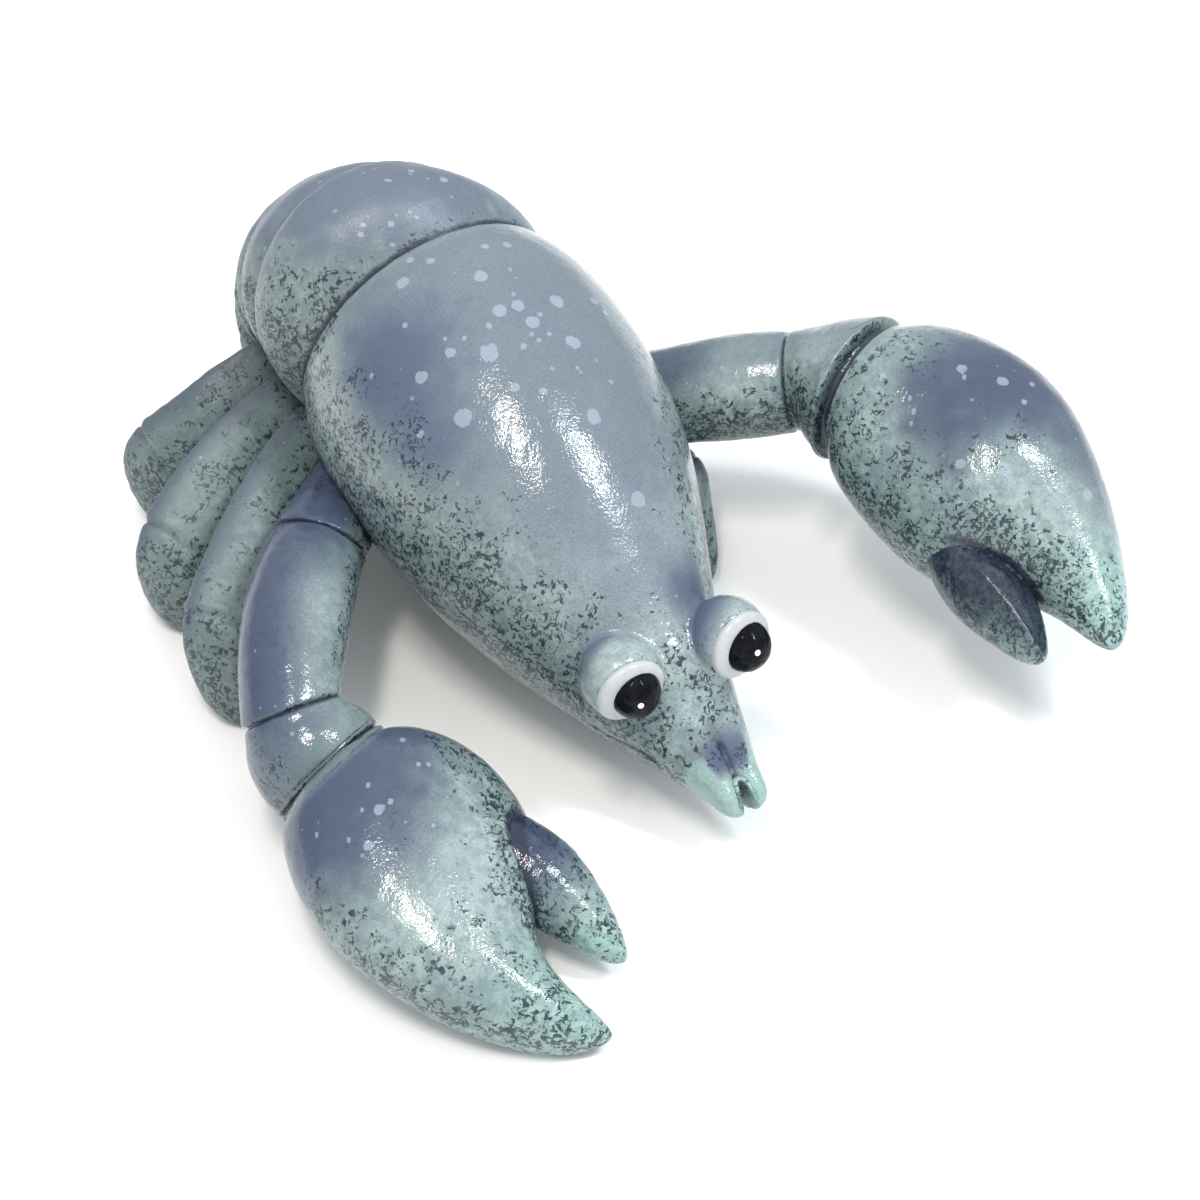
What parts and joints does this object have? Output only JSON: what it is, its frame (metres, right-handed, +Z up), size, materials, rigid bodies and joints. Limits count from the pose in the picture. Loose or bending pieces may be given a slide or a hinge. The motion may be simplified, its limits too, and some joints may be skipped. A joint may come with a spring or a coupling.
{
  "type": "lobster figurine",
  "caption": "Painted lobster table figurine with domed overlapping tail rings, big claws, round lidded eyes and splayed legs.",
  "frame": {"origin": "middle of the whole figurine's box, at table height", "axes": "-Y where the head and claws point, +X the lobster's left, +Z up"},
  "size_m": [0.1906, 0.2162, 0.0907],
  "materials": {
    "shell": "periwinkle blue over grey green, airbrushed and speckled, gloss lacquer",
    "limb": "grey green with blue ridges, dark speckle low down, gloss lacquer",
    "tip": "pale mint tips with dark speckle, gloss lacquer",
    "eye_white": "gloss white enamel",
    "pupil_black": "wet-look gloss black enamel"
  },
  "bodies": {
    "root": {"abdomen_ring_1": "shell", "abdomen_ring_2": "shell", "abdomen_ring_3": "shell", "abdomen_ring_4": "shell", "abdomen_ring_5": "shell", "abdomen_ring_6": "shell", "carapace": "shell", "claw_finger_left": "tip", "claw_finger_right": "tip", "claw_left": "shell", "claw_right": "shell", "eye_lid_left": "shell", "eye_lid_right": "shell", "eyeball_left": "eye_white", "eyeball_right": "eye_white", "foot_left_1": "tip", "foot_left_2": "tip", "foot_left_3": "tip", "foot_left_4": "tip", "foot_right_1": "tip", "foot_right_2": "tip", "foot_right_3": "tip", "foot_right_4": "tip", "leg_left_1": "limb", "leg_left_2": "limb", "leg_left_3": "limb", "leg_left_4": "limb", "leg_right_1": "limb", "leg_right_2": "limb", "leg_right_3": "limb", "leg_right_4": "limb", "pupil_left": "pupil_black", "pupil_right": "pupil_black", "shoulder_left": "limb", "shoulder_right": "limb", "sternum": "limb", "telson": "limb", "upper_arm_left": "limb", "upper_arm_right": "limb", "uropod_inner_left": "limb", "uropod_inner_right": "limb", "uropod_outer_left": "limb", "uropod_outer_right": "limb", "wrist_left": "limb", "wrist_right": "limb"}
  },
  "joints": []
}
